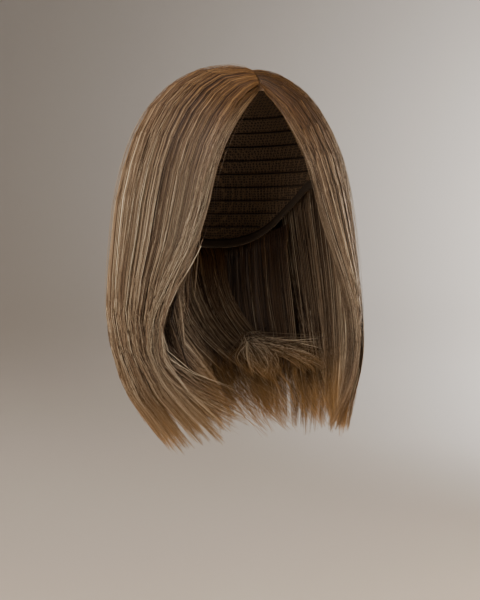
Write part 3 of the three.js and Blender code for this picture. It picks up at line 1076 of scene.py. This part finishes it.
hair_body = body_material()
add_body("hair_right_body", right_faces, BODY_EDGE, SIDE_SHARE)
add_body("hair_left_body", left_faces, BODY_EDGE, SIDE_SHARE)
add_body("hair_back_body", back_faces, SIDE_SHARE, 2 - SIDE_SHARE)
add_body("hair_nape_body", nape_faces, NAPE_BODY_FIRST, NAPE_BODY_LAST)

# %% [markdown]
# The cap is a dome of stretch net with a soft hem. Each row of the table is the height of its edge and
# of the hairline, every 20 degrees from the front round to the back. The net is far too fine to model,
# so its finish draws it: cells with thin threads between them, both in colour and as small bumps. The
# hem is a tape, and fine noise is enough for its weave.

# %% Cap and its hem
RIM = table(
    "netZ hairlineZ",
    [-13, -21],
    [-18, -28],
    [-37, -49],
    [-90, -91],
    [-112, -112],
    [-103, -103],
    [-122, -122],
    [-146, -146],
    [-156, -156],
    [-158, -158],
)
CAP_COLUMNS = 96
CAP_AZIMUTHS = np.arange(CAP_COLUMNS) * 360 / CAP_COLUMNS
CAP_ROWS = 24
CAP_CELL = 2.4 * MM
HEM_WIDTH = 8 * MM
HEM_DEPTH = 1.1 * MM
HEM_GAP = 0.05 * MM
THREAD_BUMP = 0.3 * MM


def rim_height(column, azimuth):
    """The height of the cap's edge, or of the hairline, at azimuths from the front in degrees."""
    return along(RIM[column], np.abs((azimuth + 180) % 360 - 180) / 180)


def cap_points(azimuth, height, offset):
    """Points of the cap's egg at azimuths and heights, moved out by offset."""
    turn = np.radians(azimuth)
    lift = 1 + height / CAP_HALF[2]
    spread = np.sqrt(np.maximum(0, 1 - lift * lift))
    x = (CAP_HALF[0] + offset) * spread * np.sin(turn)
    y = -(CAP_HALF[1] + offset) * spread * np.cos(turn)
    return np.stack([x, y, (CAP_HALF[2] + offset) * lift - CAP_HALF[2]], axis=-1)


def net_material(name, thread, ground, cell, alpha=None):
    """Net with cells of a given size: threads in one colour over a ground in another, or over nothing."""
    material, tree, shader = new_material(name)
    place = make_node(tree, "ShaderNodeTexCoord", None, None, "Object")
    settings = {"feature": "DISTANCE_TO_EDGE"}
    inputs = {"Vector": place, "Scale": 1 / cell, "Randomness": 0.35}
    edge = place.node("ShaderNodeTexVoronoi", settings, inputs, "Distance")
    threads = edge.step(0.05, 0.16, 1.0, 0.0)
    inputs = {"Strength": 0.5, "Distance": THREAD_BUMP, "Height": threads}
    bump = threads.node("ShaderNodeBump", None, inputs)
    plug(tree, shader, Base_Color=mix_colours(threads, ground, thread), Roughness=0.85, Normal=bump)
    if alpha is not None:
        plug(tree, shader, Alpha=threads * (1 - alpha) + alpha)
    return material


def cloth_material(name, tint):
    """Plain woven tape."""
    material, tree, shader = new_material(name)
    place = make_node(tree, "ShaderNodeTexCoord", None, None, "Object")
    weave = place.node("ShaderNodeTexNoise", None, {"Vector": place, "Scale": 900.0, "Detail": 2.0})
    inputs = {"Strength": 0.4, "Distance": THREAD_BUMP, "Height": weave}
    bump = weave.node("ShaderNodeBump", None, inputs)
    plug(tree, shader, Base_Color=tint, Roughness=0.9, Normal=bump)
    return material


def add_cap():
    """The dome of net, open at the face and below."""
    azimuth, reach = np.meshgrid(CAP_AZIMUTHS, np.linspace(0, 1, CAP_ROWS + 1))
    edge = np.arccos(1 + rim_height("netZ", azimuth) / CAP_HALF[2])
    height = CAP_HALF[2] * (np.cos(reach * edge) - 1)
    chart = np.stack([azimuth / 360, reach], axis=-1)
    outer, inner = (cap_points(azimuth, height, offset) for offset in (CAP_WALL, 0.0))
    return shell_mesh("cap_net", outer, inner, chart, wraps=True, pointed=True)


def add_hem():
    """A tape sewn along the inside of the cap's edge."""
    azimuth, reach = np.meshgrid(CAP_AZIMUTHS, np.linspace(0, 1, 5))
    height = rim_height("netZ", azimuth) + HEM_WIDTH * (1 - reach)
    bulge = HEM_DEPTH * (0.6 + 0.4 * np.sin(math.pi * reach))
    chart = np.stack([azimuth / 360, reach], axis=-1)
    outer, inner = (cap_points(azimuth, height, offset) for offset in (-HEM_GAP, -bulge))
    return shell_mesh("cap_hem", outer, inner, chart, wraps=True)


cap = add_cap()
cap.data.materials.append(net_material("cap_net", colour("6a543c"), colour("32261a"), CAP_CELL))
keep(cap, "net", "cap")
hem = add_hem()
hem.data.materials.append(cloth_material("hem_tape", colour("33271b")))
keep(hem, "net")

# %% [markdown]
# The hair of the back is sewn on in rows, and inside the cap each row shows as a seam with slanting
# stitches. An array of stitches would run straight, so the rows are drawn as lines on the dome instead.
# A tree sweeps the seam along them and sets a stitch at even steps, turned with the line.

# %% Sewn rows
ROW_STEP = 13 * MM
ROW_COUNT = 10
ROW_TOP = -34 * MM
ROW_INSET = 0.7 * MM
ROW_AZIMUTHS = np.arange(62, 299, 3.0)
ROW_BREAK = 4
ROW_LEAST_POINTS = 4
STITCH_TILT = 1.15
SEAM_INPUTS = {
    "Radius": 0.7 * MM,
    "Stitch Step": 3.2 * MM,
    "Stitch Length": 4.2 * MM,
    "Stitch Radius": 0.25 * MM,
    "Material": None,
    "Thread": None,
}


def seam_tree():
    """The tree that sweeps a seam along lines and sets slanting stitches on it."""
    tree, given = new_geometry_tree("seams", SEAM_INPUTS)
    lines = given["Geometry"].node("GeometryNodeMeshToCurve", None, {"Mesh": given["Geometry"]})
    inputs = {"Resolution": 6, "Radius": given["Radius"]}
    ring = lines.node("GeometryNodeCurvePrimitiveCircle", None, inputs)
    inputs = {"Curve": lines, "Profile Curve": ring, "Fill Caps": True}
    seams = with_material(lines.node("GeometryNodeCurveToMesh", None, inputs), given["Material"])
    inputs = {"Curve": lines, "Length": given["Stitch Step"]}
    spots = lines.node("GeometryNodeCurveToPoints", {"mode": "LENGTH"}, inputs)
    turns = Wire(spots.socket.node.outputs["Rotation"])
    inputs = {"Vertices": 5, "Radius": given["Stitch Radius"], "Depth": given["Stitch Length"]}
    stitch = lines.node("GeometryNodeMeshCylinder", None, inputs)
    inputs = {0: turns, 1: (STITCH_TILT, 0.0, 0.0)}
    tilt = turns.node("FunctionNodeRotateRotation", {"rotation_space": "LOCAL"}, inputs)
    inputs = {"Points": spots, "Instance": stitch, "Rotation": tilt}
    stitches = spots.node("GeometryNodeInstanceOnPoints", None, inputs)
    stitches = stitches.node("GeometryNodeRealizeInstances", None, {"Geometry": stitches})
    joined = tree.nodes.new("GeometryNodeJoinGeometry")
    for part in (with_material(stitches, given["Thread"]), seams):
        tree.links.new(part.socket, joined.inputs[0])
    rows_sewn = Wire(joined.outputs[0])
    end_tree(rows_sewn.node("GeometryNodeSetShadeSmooth", None, {"Geometry": rows_sewn}))
    return tree


def row_lines():
    """The rows as lines of points on the inside of the dome, each from ear to ear round the back."""
    points, edges = [], []
    for row in range(ROW_COUNT):
        height = ROW_TOP - row * ROW_STEP
        inside = ROW_AZIMUTHS[rim_height("netZ", ROW_AZIMUTHS) < height - HEM_WIDTH]
        for run in np.split(inside, np.where(np.diff(inside) > ROW_BREAK)[0] + 1):
            if len(run) >= ROW_LEAST_POINTS:
                first = len(points)
                points.extend(cap_points(run, np.full(len(run), height), -ROW_INSET))
                edges.extend((first + k, first + k + 1) for k in range(len(run) - 1))
    mesh = bpy.data.meshes.new("rows")
    mesh.from_pydata([tuple(p) for p in points], edges, [])
    made = bpy.data.objects.new("rows", mesh)
    bpy.context.scene.collection.objects.link(made)
    return made


rows = row_lines()
seam = cloth_material("seam_hair", colour("2c1f14"))
thread = cloth_material("seam_thread", colour("5a4630"))
keep(run_tree(seam_tree(), rows, "sewn_rows", Material=seam, Thread=thread), "net")
bpy.data.objects.remove(rows)

# %% [markdown]
# The lace front is so sheer that it nearly vanishes on skin. A strip of very fine net in the colour of
# skin, nearly clear between its threads, carries the hairline, and a narrow strip of closed net shows
# in the parting. Both are shells like the cap, with the cap's own net finish in smaller cells.

# %% Lace front and parting
LACE_END_AZIMUTH = 52.0
LACE_GAP = 0.5 * MM
LACE_CELL = 1.1 * MM
LACE_ALPHA = 0.2
LACE_OFFSETS = (0.8 * MM, 0.4 * MM)
STRIP_HALF_MM = 3.5
STRIP_FRONT_MM = -56
STRIP_LENGTH_MM = 86
STRIP_OFFSETS_MM = (2.2, 1.5)


def add_lace():
    """The strip from the net's edge down to the hairline."""
    azimuths = np.linspace(-LACE_END_AZIMUTH, LACE_END_AZIMUTH, 61)
    azimuth, reach = np.meshgrid(azimuths, np.linspace(0, 1, 7))
    start = rim_height("netZ", azimuth) - LACE_GAP
    height = start + (rim_height("hairlineZ", azimuth) - start) * reach
    chart = np.stack([azimuth / 360 + 0.5, reach], axis=-1)
    outer, inner = (cap_points(azimuth, height, offset) for offset in LACE_OFFSETS)
    return shell_mesh("lace_net", outer, inner, chart)


def add_parting():
    """A narrow strip along the parting, just over the cap."""
    step, reach = np.meshgrid(np.linspace(-1, 1, 5), np.linspace(0, 1, 25))
    x = step * STRIP_HALF_MM * MM
    y = (STRIP_FRONT_MM + STRIP_LENGTH_MM * reach) * MM
    lift = np.sqrt(1 - (x / CAP_HALF[0]) ** 2 - (y / CAP_HALF[1]) ** 2)
    heights = [(CAP_HALF[2] + offset * MM) * lift - CAP_HALF[2] for offset in STRIP_OFFSETS_MM]
    outer, inner = (np.stack([x, y, z], axis=-1) for z in heights)
    return shell_mesh("parting_net", outer, inner, np.stack([step, reach], axis=-1))


lace = add_lace()
lace_finish = net_material("lace_net", colour("a08468"), colour("8d7050"), LACE_CELL, alpha=LACE_ALPHA)
lace.data.materials.append(lace_finish)
keep(lace, "lace", "lace_front")
parting = add_parting()
parting.data.materials.append(net_material("parting_net", colour("8a6a4e"), colour("6b4e36"), LACE_CELL))
keep(parting, "lace")

# %% [markdown]
# The guides have done their work and go, so that only finished pieces are left. Then the triangles of
# all the pieces are counted.

# %% Clear the guides and count the triangles
for guide in guides.values():
    bpy.data.objects.remove(guide)
print("triangles in all:", sum(triangles(piece) for piece in pieces.values()))
